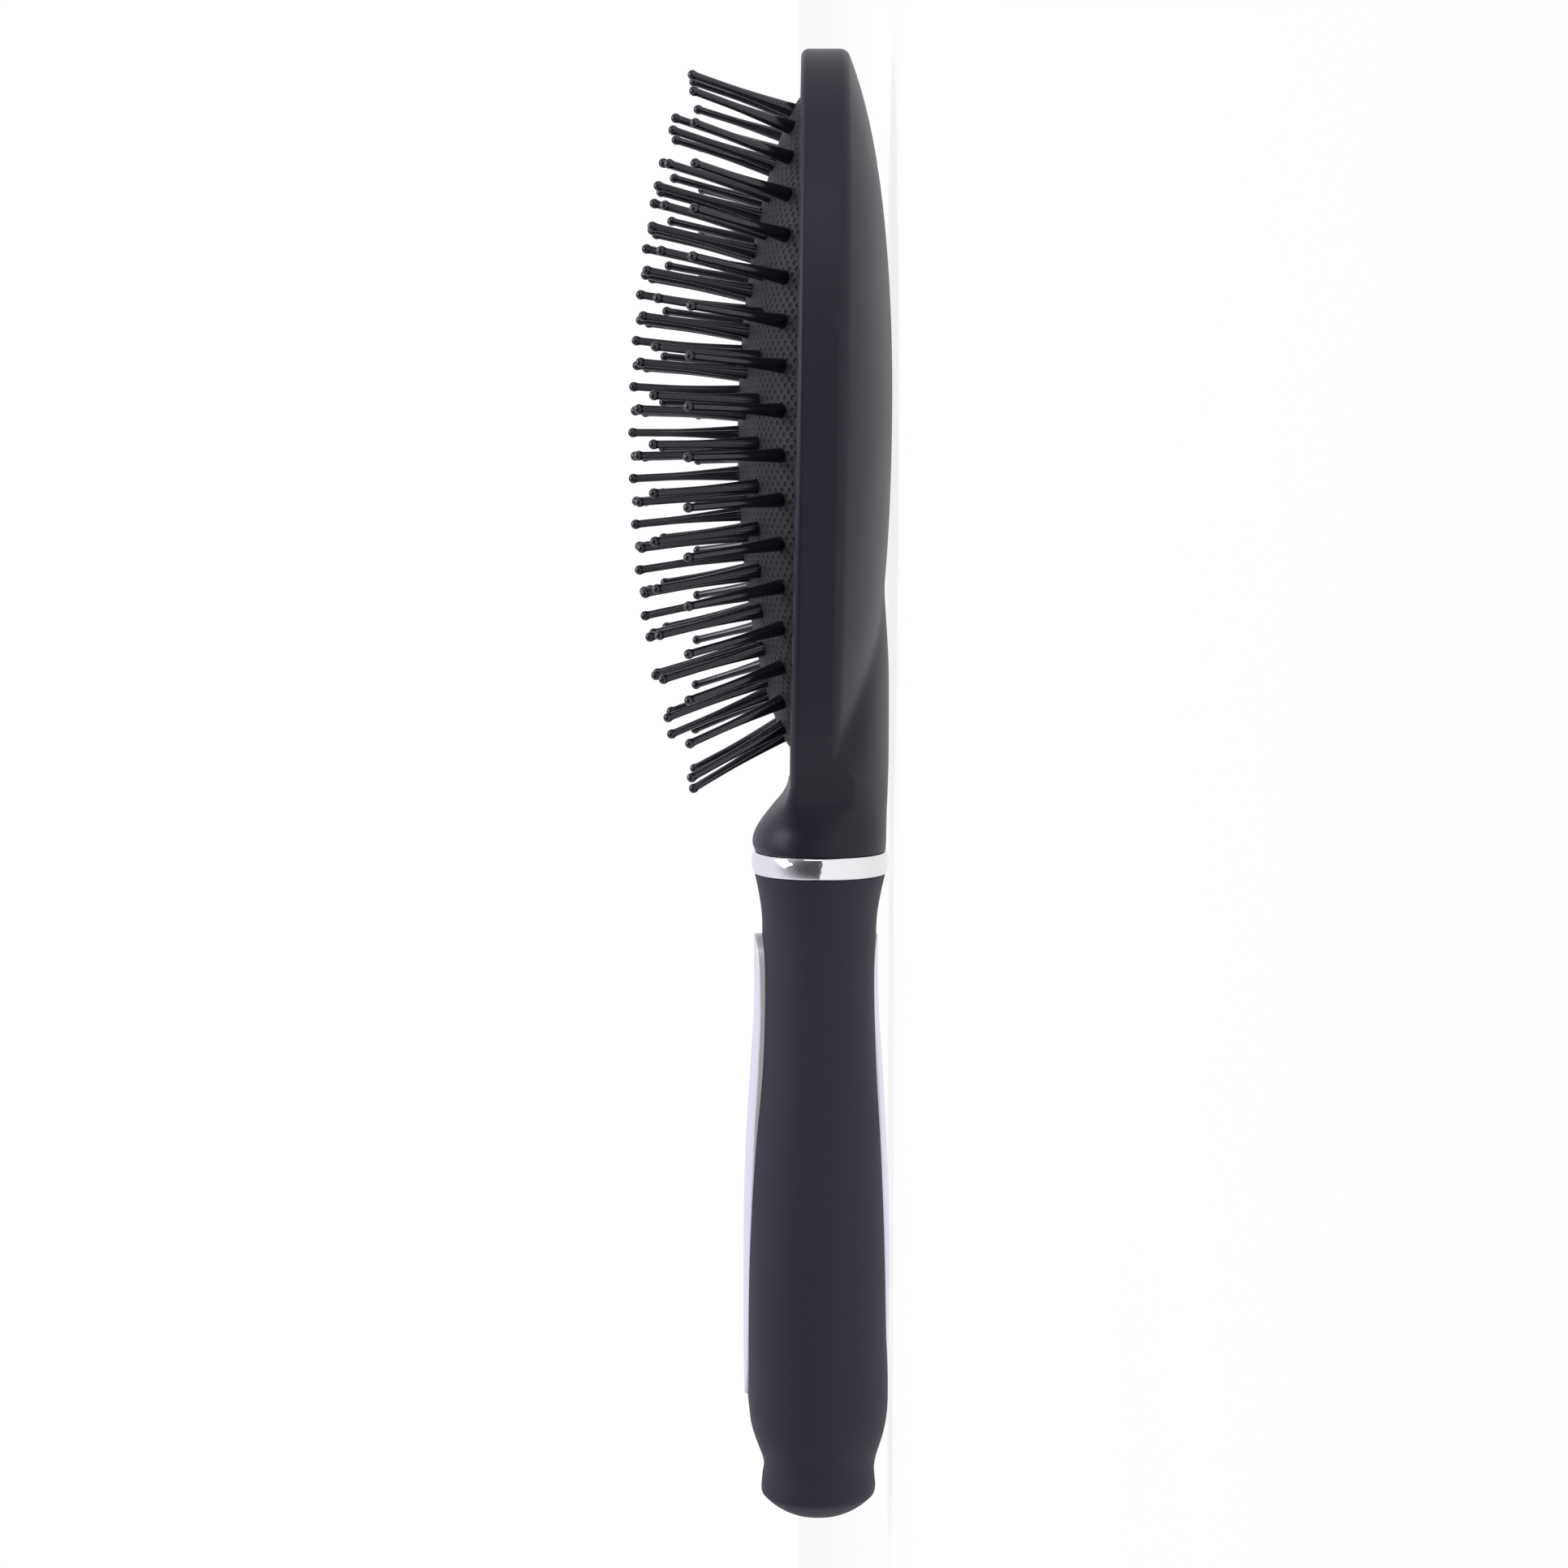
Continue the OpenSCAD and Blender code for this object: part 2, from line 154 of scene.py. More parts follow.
CAMERA_AWAY = 0.600
LENS = 84.83
EYE = Vector((0.050, -CAMERA_AWAY, 0.01745))
AIM = Vector((0.00184, 0.0, 0.01745))


def place_camera():
    """Level with the head, side on, rolled so that the head of the brush is at the top."""
    data = bpy.data.cameras.new("camera")
    data.lens = LENS
    data.clip_start = 0.01
    camera = bpy.data.objects.new("camera", data)
    bpy.context.collection.objects.link(camera)
    back = (EYE - AIM).normalized()
    right = Vector((1, 0, 0)).cross(back).normalized()
    up = back.cross(right)
    camera.matrix_world = Matrix.Translation(EYE) @ Matrix((right, up, back)).transposed().to_4x4()
    bpy.context.scene.camera = camera


place_camera()
bpy.context.scene.view_settings.view_transform = "Standard"

# ---------------------------------------------------------------- curves


def curve(table, x, column=1):
    """A smooth curve through one column of an outline table."""
    x = np.asarray(x, float)
    xs, ys = table[:, 0], table[:, column]
    slopes = np.empty_like(ys)
    slopes[1:-1] = (ys[2:] - ys[:-2]) / (xs[2:] - xs[:-2])
    slopes[0] = (ys[1] - ys[0]) / (xs[1] - xs[0])
    slopes[-1] = (ys[-1] - ys[-2]) / (xs[-1] - xs[-2])
    i = np.clip(np.searchsorted(xs, x, side="right") - 1, 0, len(xs) - 2)
    h = xs[i + 1] - xs[i]
    s = np.clip((x - xs[i]) / h, 0, 1)
    rise = ys[i] * (1 - s) ** 2 * (1 + 2 * s) + ys[i + 1] * s * s * (3 - 2 * s)
    return rise + h * s * (1 - s) * (slopes[i] * (1 - s) - slopes[i + 1] * s)


def soft_min(a, b, k):
    """The smaller of two values, rounded off where they come within k of each other."""
    h = np.clip(0.5 + 0.5 * (b - a) / k, 0, 1)
    return b * (1 - h) + a * h - k * h * (1 - h)


def soft_max(a, b, k):
    return -soft_min(-a, -b, k)


def smooth_step(lo, hi, x):
    """Rises from 0 at lo to 1 at hi without a corner at either."""
    s = np.clip((np.asarray(x, float) - lo) / (hi - lo), 0, 1)
    return s * s * (3 - 2 * s)


def signed_power(c, power):
    return np.sign(c) * np.abs(c) ** power


def oval_points(angles, power):
    """Points of an oval of half sizes 1 and 1."""
    return (signed_power(np.cos(angles), 2 / power), signed_power(np.sin(angles), 2 / power))


# ---------------------------------------------------------------- mesh helpers


def add_piece(name, points, faces, material, smooth_angle=40):
    """A mesh object from points in millimetres."""
    mesh = bpy.data.meshes.new(name)
    mesh.from_pydata((np.asarray(points, float) * MM).tolist(), [], [tuple(f) for f in faces])
    mesh.validate()
    mesh.materials.append(material)
    piece = bpy.data.objects.new(name, mesh)
    bpy.context.collection.objects.link(piece)
    mesh.shade_smooth()
    mesh.set_sharp_from_angle(angle=math.radians(smooth_angle))
    return piece


def skin_faces(rows, columns, caps=True, start=0):
    """Faces of a tube of rings of points, each ring going round the same way."""
    k, i = np.meshgrid(np.arange(rows - 1), np.arange(columns), indexing="ij")
    j = (i + 1) % columns
    quads = np.stack([k * columns + i, k * columns + j, (k + 1) * columns + j,
                      (k + 1) * columns + i], axis=-1).reshape(-1, 4) + start
    faces = [tuple(q) for q in quads.tolist()]
    if caps:
        faces.append(tuple(start + n for n in reversed(range(columns))))
        faces.append(tuple(start + (rows - 1) * columns + n for n in range(columns)))
    return faces


def closing_faces(rows, columns):
    """Faces that join the last ring of points back to the first."""
    last = (rows - 1) * columns
    return [(last + i, last + (i + 1) % columns, (i + 1) % columns, i) for i in range(columns)]


def head_frame(u, v, h):
    """Turns places in the head's own leaning frame into the brush's frame."""
    u, v, h = np.broadcast_arrays(np.asarray(u, float), v, h)
    x = HEAD_X + u * math.cos(LEAN) + h * math.sin(LEAN)
    z = HEAD_Z - u * math.sin(LEAN) + h * math.cos(LEAN)
    return np.stack([x, v, z], axis=-1)


def crown_share(q):
    """Share of the crown's height left where q is the square of how far out a place is."""
    return 1 - CROWN_SHARE * q ** CROWN_POWER - (1 - CROWN_SHARE) * q ** EDGE_POWER


def lowest_of_crown():
    """The lowest place of the leaning crown, with the head's rim line at zero."""
    u = np.arange(0, 15.1, 0.5)
    low = -CROWN_DEPTH * crown_share((u / HEAD_A) ** 2) * math.cos(LEAN) - u * math.sin(LEAN)
    return float(low.min())


HEAD_Z = -lowest_of_crown()

# ---------------------------------------------------------------- materials


def new_material(name, color, roughness, metallic=0.0, specular=0.5, coat=0.0,
                 coat_roughness=0.1):
    """A material with one shader, and that shader."""
    material = bpy.data.materials.new(name)
    material.use_nodes = True
    shader = material.node_tree.nodes["Principled BSDF"]
    shader.inputs["Base Color"].default_value = (*color, 1)
    shader.inputs["Roughness"].default_value = roughness
    shader.inputs["Metallic"].default_value = metallic
    shader.inputs["Specular IOR Level"].default_value = specular
    shader.inputs["Coat Weight"].default_value = coat
    shader.inputs["Coat Roughness"].default_value = coat_roughness
    return material, shader


def add_node(material, kind, **values):
    """A node with its named inputs or settings set."""
    node = material.node_tree.nodes.new(kind)
    for key, value in values.items():
        if key in node.inputs:
            node.inputs[key].default_value = value
        else:
            setattr(node, key, value)
    return node


def link(material, start, end):
    material.node_tree.links.new(start, end)


def object_noise(material, scale, detail=3.0, roughness=0.55):
    """Noise fixed to the object, its scale given in bumps per metre."""
    place = add_node(material, "ShaderNodeTexCoord")
    noise = add_node(material, "ShaderNodeTexNoise", Scale=scale, Detail=detail,
                     Roughness=roughness)
    link(material, place.outputs["Object"], noise.inputs["Vector"])
    return noise.outputs["Fac"]


def spread(material, source, start, end, lo, hi, kind="LINEAR"):
    """Spreads values from start to end over lo to hi."""
    node = add_node(material, "ShaderNodeMapRange", interpolation_type=kind)
    for name, value in (("From Min", start), ("From Max", end), ("To Min", lo), ("To Max", hi)):
        node.inputs[name].default_value = value
    link(material, source, node.inputs["Value"])
    return node.outputs["Result"]


def ramp(material, source, lo, hi):
    """Spreads the usual range of a noise over lo to hi."""
    return spread(material, source, 0.3, 0.7, lo, hi)


def mix_colors(material, share, first, second):
    """Mixes two colours by a socket's value; each is a plain colour or a socket itself."""
    node = add_node(material, "ShaderNodeMix", data_type="RGBA")
    sockets = [socket for socket in node.inputs if socket.type == "RGBA"]
    for socket, color in zip(sockets, (first, second)):
        if isinstance(color, tuple):
            socket.default_value = (*color, 1)
        else:
            link(material, color, socket)
    link(material, share, node.inputs["Factor"])
    return [socket for socket in node.outputs if socket.type == "RGBA"][0]


def bump(material, shader, source, height_mm, strength):
    """Raises the surface by a value, up to a height in millimetres."""
    node = add_node(material, "ShaderNodeBump", Strength=strength, Distance=height_mm * MM)
    link(material, source, node.inputs["Height"])
    link(material, node.outputs["Normal"], shader.inputs["Normal"])


def satin_black():
    """The head's lacquer: a low satin with a fine orange-peel grain."""
    material, shader = new_material("satin_black", (0.0100, 0.0092, 0.0150), 0.44, specular=0.39)
    blotch = object_noise(material, 45, detail=4)
    grain = object_noise(material, 3200, detail=2)
    color = mix_colors(material, blotch, (0.0090, 0.0083, 0.0138), (0.0112, 0.0103, 0.0165))
    link(material, color, shader.inputs["Base Color"])
    shader.inputs["Specular Tint"].default_value = (0.91, 0.82, 1.0, 1)
    link(material, ramp(material, blotch, 0.41, 0.48), shader.inputs["Roughness"])
    bump(material, shader, grain, 0.012, 0.5)
    return material


def soft_touch_black():
    """The grip's soft-touch coat: matte, a fine grain and faint blotches from handling."""
    material, shader = new_material("soft_touch_black", (0.028, 0.0256, 0.038), 0.62,
                                    specular=0.25)
    blotch = object_noise(material, 45, detail=4)
    grain = object_noise(material, 3200, detail=2)
    color = mix_colors(material, blotch, (0.0262, 0.0240, 0.0358), (0.0300, 0.0274, 0.0405))
    link(material, color, shader.inputs["Base Color"])
    shader.inputs["Specular Tint"].default_value = (0.93, 0.87, 1.0, 1)
    link(material, ramp(material, blotch, 0.58, 0.67), shader.inputs["Roughness"])
    bump(material, shader, grain, 0.012, 0.5)
    return material


def math_node(material, kind, first, second=None):
    """A Math node; numbers are set on it and sockets are linked to it."""
    node = add_node(material, "ShaderNodeMath", operation=kind)
    for socket, value in zip(node.inputs, (first, second)):
        if isinstance(value, (int, float)):
            socket.default_value = value
        elif value is not None:
            link(material, value, socket)
    return node.outputs[0]


def dot_lattice(material):
    """Staggered rows of round dimples, from the cushion's own map in millimetres."""
    place = add_node(material, "ShaderNodeUVMap", uv_map="membrane")
    split = add_node(material, "ShaderNodeSeparateXYZ")
    link(material, place.outputs["UV"], split.inputs["Vector"])
    reaches = []
    for shift in (0.0, 0.5):
        parts = []
        for axis, pitch in (("X", DOT_ROW * 2), ("Y", DOT_PITCH)):
            turns = math_node(material, "DIVIDE", split.outputs[axis], pitch)
            turns = math_node(material, "ADD", turns, shift)
            off = math_node(material, "SUBTRACT", math_node(material, "FRACT", turns), 0.5)
            parts.append(math_node(material, "POWER", math_node(material, "MULTIPLY", off, pitch), 2))
        reaches.append(math_node(material, "ADD", parts[0], parts[1]))
    near = math_node(material, "SQRT", math_node(material, "MINIMUM", reaches[0], reaches[1]))
    dot = add_node(material, "ShaderNodeMapRange", interpolation_type="SMOOTHSTEP")
    dot.inputs["From Min"].default_value = 0.12
    dot.inputs["From Max"].default_value = DOT_R
    link(material, near, dot.inputs["Value"])
    return dot.outputs["Result"]


def cushion_rubber():
    """Rubber moulded with fine dimples, painted darker inside as painted shade in the hollows."""
    material, shader = new_material("cushion_rubber", (0.040, 0.039, 0.044), 0.62, specular=0.4)
    blotch = object_noise(material, 90, detail=5)
    grain = object_noise(material, 2500, detail=2)
    dots = dot_lattice(material)
    even = mix_colors(material, blotch, (0.015, 0.0143, 0.0175), (0.022, 0.021, 0.0255))
    # the dimples take a near-black colour: painted shade in the hollows, on top of their bump
    link(material, mix_colors(material, dots, (0.005, 0.005, 0.006), even),
         shader.inputs["Base Color"])
    link(material, ramp(material, blotch, 0.56, 0.68), shader.inputs["Roughness"])
    fine = add_node(material, "ShaderNodeBump", Strength=0.5, Distance=0.02 * MM)
    link(material, grain, fine.inputs["Height"])
    deep = add_node(material, "ShaderNodeBump", Strength=1.0, Distance=0.30 * MM)
    link(material, dots, deep.inputs["Height"])
    link(material, fine.outputs["Normal"], deep.inputs["Normal"])
    link(material, deep.outputs["Normal"], shader.inputs["Normal"])
    return material


def pin_nylon():
    """Polished nylon, with flow marks that only its gloss shows."""
    material, shader = new_material("pin_nylon", (0.006, 0.0062, 0.0095), 0.15, specular=0.7)
    flow = object_noise(material, 260, detail=2)
    color = mix_colors(material, flow, (0.0050, 0.0052, 0.0085), (0.0072, 0.0075, 0.0120))
    link(material, color, shader.inputs["Base Color"])
    shader.inputs["Specular Tint"].default_value = (0.90, 0.92, 1.0, 1)
    link(material, ramp(material, flow, 0.12, 0.18), shader.inputs["Roughness"])
    return material


def ring_chrome():
    """Bright plating, a little wavy, with faint smears."""
    material, shader = new_material("ring_chrome", (0.86, 0.86, 0.88), 0.05, metallic=1.0)
    smear = object_noise(material, 220, detail=3)
    ripple = object_noise(material, 420, detail=2)
    link(material, ramp(material, smear, 0.03, 0.10), shader.inputs["Roughness"])
    bump(material, shader, ripple, 0.12, 0.6)
    return material


def inlay_silver():
    """Lavender silver lacquer on the face of a plate, and a darker grey painted shade on its edge."""
    material, shader = new_material("inlay_silver", (0.66, 0.65, 0.80), 0.38, metallic=0.3,
                                    coat=0.4, coat_roughness=0.25)
    flake = object_noise(material, 9000, detail=1)
    cloud = object_noise(material, 60, detail=3)
    face = mix_colors(material, flake, (0.70, 0.69, 0.83), (0.80, 0.79, 0.93))
    place = add_node(material, "ShaderNodeUVMap", uv_map="plate")
    split = add_node(material, "ShaderNodeSeparateXYZ")
    link(material, place.outputs["UV"], split.inputs["Vector"])
    # the edge's darker grey is painted shade on the plate's side wall
    painted_edge_shade = (0.62, 0.62, 0.64)
    link(material, mix_colors(material, split.outputs["Y"], painted_edge_shade, face),
         shader.inputs["Base Color"])
    link(material, ramp(material, cloud, 0.34, 0.42), shader.inputs["Roughness"])
    bump(material, shader, flake, 0.004, 0.4)
    return material


def core_plastic():
    """The plain moulded plastic of the handle's hidden core."""
    material, shader = new_material("core_plastic", (0.02, 0.02, 0.021), 0.45)
    grain = object_noise(material, 700, detail=3)
    link(material, ramp(material, grain, 0.38, 0.52), shader.inputs["Roughness"])
    bump(material, shader, grain, 0.02, 0.5)
    return material


SATIN_BLACK = satin_black()
SOFT_BLACK = soft_touch_black()
RUBBER = cushion_rubber()
NYLON = pin_nylon()
CHROME = ring_chrome()
SILVER = inlay_silver()
CORE = core_plastic()

# ---------------------------------------------------------------- head and neck


def oval_radius(x, v):
    """How far out a point is in the head's oval, 1 on its outline."""
    t = np.abs((x - HEAD_X) / HEAD_A) ** OVAL_POWER
    return (t + np.abs(v / HEAD_B) ** OVAL_POWER) ** (1 / OVAL_POWER)


def oval_half_width(x):
    t = np.abs((x - HEAD_X) / HEAD_A) ** OVAL_POWER
    return HEAD_B * np.maximum(1 - t, 0) ** (1 / OVAL_POWER)


def plan_half_width(x):
    """Half width of head and neck in plan, with a fillet where they meet."""
    neck = curve(NECK_PLAN, np.minimum(x, NECK_PLAN[-1, 0]))
    oval = oval_half_width(x)
    return np.where(x > 20, oval, soft_max(oval, neck, 3.0))


def wall_base(x):
    """Height of the leaning line where side wall and crown meet."""
    return HEAD_Z - (x - HEAD_X) * math.tan(LEAN)


def section_drop(v, half_w, power):
    """Share of an oval section's height left at a place across it."""
    return np.maximum(1 - np.abs(v / half_w) ** power, 0) ** (1 / power)


def back_height(x, v):
    """Height of the back: the crown, with the neck's fairing growing out of it."""
    crown = wall_base(x) - CROWN_DEPTH * crown_share(np.minimum(oval_radius(x, v) ** 2, 1))
    crown = crown + edge_drop(rim_depth(x, v), CREASE) + 3 * (1 - smooth_step(-4, 4, x))
    middle = curve(NECK, x, 3)
    low = curve(NECK, x, 1)
    # on the neck itself the fairing is never narrower than the neck
    half_w = max(float(curve(FAIRING, x)), plan_half_width(x) if x < 2 else 0)
    fairing = middle - (middle - low) * section_drop(v, half_w, SECTION_POWER)
    fairing = np.where(np.abs(v) >= half_w, middle + 2 * (np.abs(v) - half_w), fairing)
    if x > NECK[-1, 0]:
        return crown
    return soft_min(crown, fairing, 0.6)


def edge_drop(depth, radius):
    """How far a rounded edge falls away at a distance in from the outline."""
    d = np.clip(depth, 0, radius)
    return radius - np.sqrt(radius ** 2 - (radius - d) ** 2)


def rim_depth(x, v):
    """Distance in from the head's outline, near enough for the lip."""
    if x < 15:
        half_w = plan_half_width(x)
        slope = (plan_half_width(x + 0.2) - plan_half_width(x - 0.2)) / 0.4
        return (half_w - np.abs(v)) / math.sqrt(1 + slope ** 2)
    q = oval_radius(x, v) ** 2
    steep = np.hypot(2 * (x - HEAD_X) / HEAD_A ** 2, 2 * v / HEAD_B ** 2)
    return (1 - q) / np.maximum(steep, 1e-6)


ACROSS = np.radians(np.concatenate([[0, 1.5, 3, 5, 7.5, 10], np.arange(13, 168, 3),
                                    [170, 172.5, 175, 177, 178.5, 180]]))
WALL_STEPS = np.array([0.03, 0.1, 0.25, 0.5, 0.75, 0.93])
WALL_ANGLE = math.radians(18)


def head_section(x):
    """The section across head or neck at a place, back first, then up one side and over."""
    half_w = float(plan_half_width(x))
    v = half_w * np.cos(np.pi - ACROSS)
    low = back_height(x, v)
    front = wall_base(x) + WALL_H if x > 2.3 else float(curve(NECK, x, 2))
    top_v = -v
    top = front - edge_drop(rim_depth(x, top_v), LIP)
    wall_v = np.full(len(WALL_STEPS), half_w)
    wall = low[-1] + (front - LIP - low[-1]) * WALL_STEPS
    # the neck's rounded section, point for point
    neck = 1 - smooth_step(-5.5, 2.6, x)
    if neck > 0:
        middle = float(curve(NECK, x, 3))
        c, s = oval_points(WALL_ANGLE * WALL_STEPS, 2.4)
        wall_v = wall_v + neck * (half_w * c - wall_v)
        wall = wall + neck * (middle + (front - middle) * s - wall)
        c, s = oval_points(WALL_ANGLE + ACROSS * (1 - 2 * WALL_ANGLE / np.pi), 2.4)
        top_v = top_v + neck * (half_w * c - top_v)
        top = top + neck * (middle + (front - middle) * s - top)
    vs = np.concatenate([v, wall_v, top_v, -wall_v[::-1]])
    zs = np.concatenate([low, wall, top, wall[::-1]])
    return np.stack([np.full_like(vs, x), vs, zs], axis=-1)


def head_places():
    """Places of the sections along neck and head, closer together toward the tip."""
    tip = HEAD_X + HEAD_A * np.cos(np.radians(np.arange(44, 0.4, -1.2)))
    return np.concatenate([
        np.arange(-8.8, 4, 0.3), np.arange(4, 12, 0.6), np.arange(12, 36, 0.8),
        np.arange(36, tip[0] - 1, 2.0), tip, HEAD_X + HEAD_A * np.cos(np.radians([0.2, 0.05])),
    ])


def rounded_end(ring, x, shrink):
    """A section drawn in a little about its middle, for a rounded end edge."""
    middle = (ring.max(axis=0) + ring.min(axis=0)) / 2
    size = (ring.max(axis=0) - ring.min(axis=0)) / 2
    share = np.array([1, (size[1] - shrink) / size[1], (size[2] - shrink) / size[2]])
    out = middle + (ring - middle) * share
    out[:, 0] = x
    return out


def oval_ring(half_len, half_wid, height, count, shift=0.0):
    """A ring of the head's oval form, in the head's frame."""
    angles = np.linspace(0, 2 * np.pi, count, endpoint=False)
    c, s = oval_points(angles, OVAL_POWER)
    return head_frame(shift + half_len * c, half_wid * s, height)


def chamber_cutter():
    """The air chamber, the bead's groove and the rounded mouth, as a solid to cut with."""
    shift = PAD_X - HEAD_X
    floor_a, floor_b = PAD_A - 1.5, PAD_B - 1.5
    levels = [(floor_a * r, floor_b * r, 0.6 - 5.95 * (1 - r ** 2.6))
              for r in (0.02, 0.2, 0.4, 0.6, 0.75, 0.87, 0.95, 1.0)]
    levels += [(floor_a, floor_b, 4.45), (PAD_A + 1.4, PAD_B + 1.4, 4.46),
               (PAD_A + 1.4, PAD_B + 1.4, 6.25), (PAD_A + 0.1, PAD_B + 0.1, 6.26)]
    round_r = 0.35
    for angle in np.radians([0, 22, 45, 68, 90]):
        grow = 0.1 + round_r * (1 - math.cos(angle))
        levels.append((PAD_A + grow, PAD_B + grow, WALL_H - round_r * (1 - math.sin(angle))))
    levels.append((PAD_A + 0.1 + round_r, PAD_B + 0.1 + round_r, WALL_H + 1))
    count = 192
    rings = [oval_ring(a, b, h, count, shift) for a, b, h in levels]
    return np.concatenate(rings), skin_faces(len(rings), count)


def cut_with(piece, points, faces):
    """Cuts a solid out of a piece and leaves a plain mesh."""
    cutter = add_piece("cutter", points, faces, piece.data.materials[0])
    modifier = piece.modifiers.new("cut", "BOOLEAN")
    modifier.object = cutter
    modifier.operation = "DIFFERENCE"
    modifier.solver = "EXACT"
    depsgraph = bpy.context.evaluated_depsgraph_get()
    done = bpy.data.meshes.new_from_object(piece.evaluated_get(depsgraph))
    piece.modifiers.clear()
    old = piece.data
    piece.data = done
    done.name = old.name
    bpy.data.meshes.remove(old)
    bpy.data.objects.remove(cutter)
    return piece


def join_mesh(piece, other):
    """Moves another piece's mesh into a piece."""
    both = bmesh.new()
    both.from_mesh(piece.data)
    both.from_mesh(other.data)
    both.to_mesh(piece.data)
    both.free()
    bpy.data.objects.remove(other)


def tang_points():
    """The tongue that passes through the ring into the handle."""
    half_t, half_w, corner = 4.5, 6.5, 2.0
    angles = np.radians(np.arange(0, 360, 15))
    ys = np.sign(np.cos(angles)) * (half_w - corner) + corner * np.cos(angles)
    zs = np.sign(np.sin(angles)) * (half_t - corner) + corner * np.sin(angles)
    rows = [(TANG_END, 0.9), (TANG_END + 0.8, 1.0), (NECK_END + 0.6, 1.0)]
    rings = [np.stack([np.full_like(ys, x), ys * share, TANG_MIDDLE + zs * share], axis=-1)
             for x, share in rows]
    return np.concatenate(rings), skin_faces(len(rings), len(angles))


def build_head():
    """Head, neck and tang in one piece, with the cushion's chamber cut out."""
    places = head_places()
    rings = [head_section(float(x)) for x in places]
    rings = [rounded_end(rings[0], NECK_END, 0.45), rounded_end(rings[0], NECK_END + 0.05, 0.2),
             rounded_end(rings[0], NECK_END + 0.14, 0.05)] + rings
    columns = len(rings[0])
    points = np.concatenate(rings)
    piece = add_piece("head", points, skin_faces(len(rings), columns), SATIN_BLACK)
    cut_with(piece, *chamber_cutter())
    tang, tang_faces = tang_points()
    join_mesh(piece, add_piece("tang", tang, tang_faces, SATIN_BLACK))
    return piece


# ---------------------------------------------------------------- cushion and pins


def dome_height(u, v):
    """Height of the cushion's dome in the head's own frame."""
    q = np.abs(u / PAD_A) ** 2 + np.abs(v / PAD_B) ** 2
    return WALL_H - PAD_SINK + DOME_H * np.maximum(1 - q, 0) ** DOME_POWER


def build_cushion():
    """The domed membrane with its skirt and bead, closed underneath."""
    count = 240
    shift = PAD_X - HEAD_X
    base = WALL_H - PAD_SINK
    # the bead leaves room over it, as it rises a little in its groove when the dome sinks
    outer = [(PAD_A + 1.3, PAD_B + 1.3, 4.65), (PAD_A + 1.3, PAD_B + 1.3, 5.65),
             (PAD_A, PAD_B, 5.66), (PAD_A, PAD_B, base)]
    reach = np.sin(np.radians(np.linspace(88, 1, 60)))
    outer += [(PAD_A * r, PAD_B * r, base + DOME_H * (1 - r * r) ** DOME_POWER) for r in reach]
    inner_a, inner_b = PAD_A - MEMBRANE, PAD_B - MEMBRANE
    inner = [(inner_a * r, inner_b * r, base + (DOME_H - MEMBRANE) * (1 - r * r) ** DOME_POWER)
             for r in reach[::-1]]
    inner += [(inner_a, inner_b, base - 0.2), (inner_a, inner_b, 4.65)]
    levels = outer + inner
    rings = [oval_ring(a, b, h, count, shift) for a, b, h in levels]
    faces = skin_faces(len(rings), count, caps=False)
    faces += closing_faces(len(rings), count)
    # the two poles are small caps, and nothing joins the outer one to the inner
    faces = [f for f in faces if not pole_gap(f, count, len(outer))]
    top = len(outer) - 1
    faces.append(tuple(top * count + n for n in range(count)))
    faces.append(tuple((top + 1) * count + n for n in reversed(range(count))))
    piece = add_piece("cushion", np.concatenate(rings), faces, RUBBER, smooth_angle=60)
    map_membrane(piece.data)
    return piece


def map_membrane(mesh):
    """Maps the dome by its place along the brush and its distance round from the middle."""
    points = np.array([v.co for v in mesh.vertices]) / MM
    u, v = points[:, 0] - PAD_X, points[:, 1]
    steps = np.linspace(0, 1, 40)[:, None]
    heights = dome_height(u, v * steps)
    run = np.hypot(np.diff(v * steps, axis=0), np.diff(heights, axis=0)).sum(axis=0)
    places = np.stack([u, np.sign(v) * run], axis=-1)
    layer = mesh.uv_layers.new(name="membrane")
    corners = np.array([loop.vertex_index for loop in mesh.loops])
    layer.data.foreach_set("uv", places[corners].ravel())


def pole_gap(face, count, outer_rows):
    """Whether a face joins the outer pole to the inner one."""
    rows = {n // count for n in face}
    return rows == {outer_rows - 1, outer_rows}


def ring_feet(inset, number, start):
    """Feet of one ring of pins, evenly spaced round its oval."""
    a, b = PAD_A - inset, PAD_B - inset
    angles = np.radians(np.arange(0, 360.1, 4))
    c, s = oval_points(angles, OVAL_POWER)
    runs = np.concatenate([[0], np.cumsum(np.hypot(np.diff(a * c), np.diff(b * s)))])
    spots = runs[-1] * (np.arange(number) + start) / number
    c, s = oval_points(np.interp(spots, runs, angles), OVAL_POWER)
    return np.stack([a * c, b * s], axis=-1)


def centre_feet():
    """Two straight rows along the middle, half a pitch apart."""
    pitch, half, first, number = 6.45, 3.5, 30.7, 10
    return np.array([[first - pitch * (i + (side + 1) / 4), side * half]
                     for i in range(number) for side in (-1, 1)])


def pin_profile():
    """Radius and height of a pin from its button to its ball tip."""
    shaft_top = PIN_LEN - BALL_R
    button_top = -MEMBRANE - 0.65
    profile = [(0.01, button_top - 0.7), (1.15, button_top - 0.7), (1.25, button_top - 0.6),
               (1.25, button_top - 0.1), (1.2, button_top), (ROOT_R, button_top + 0.02),
               (ROOT_R, -0.4), (ROOT_R, 0.1)]
    for s in (0.06, 0.14, 0.24, 0.36, 0.5, 0.66, 0.83, 1.0, 1.2):
        ease = (1 - s / 1.2) ** 1.5
        profile.append((PIN_R + (ROOT_R - PIN_R) * ease, 0.15 + FLARE * s))
    neck_angle = math.asin(PIN_R / BALL_R) + 0.12
    profile.append((PIN_R, shaft_top - BALL_R * math.cos(neck_angle) - 0.35))
    for angle in np.linspace(neck_angle, math.pi - 0.02, 10):
        profile.append((BALL_R * math.sin(angle), shaft_top - BALL_R * math.cos(angle)))
    return np.array(profile)


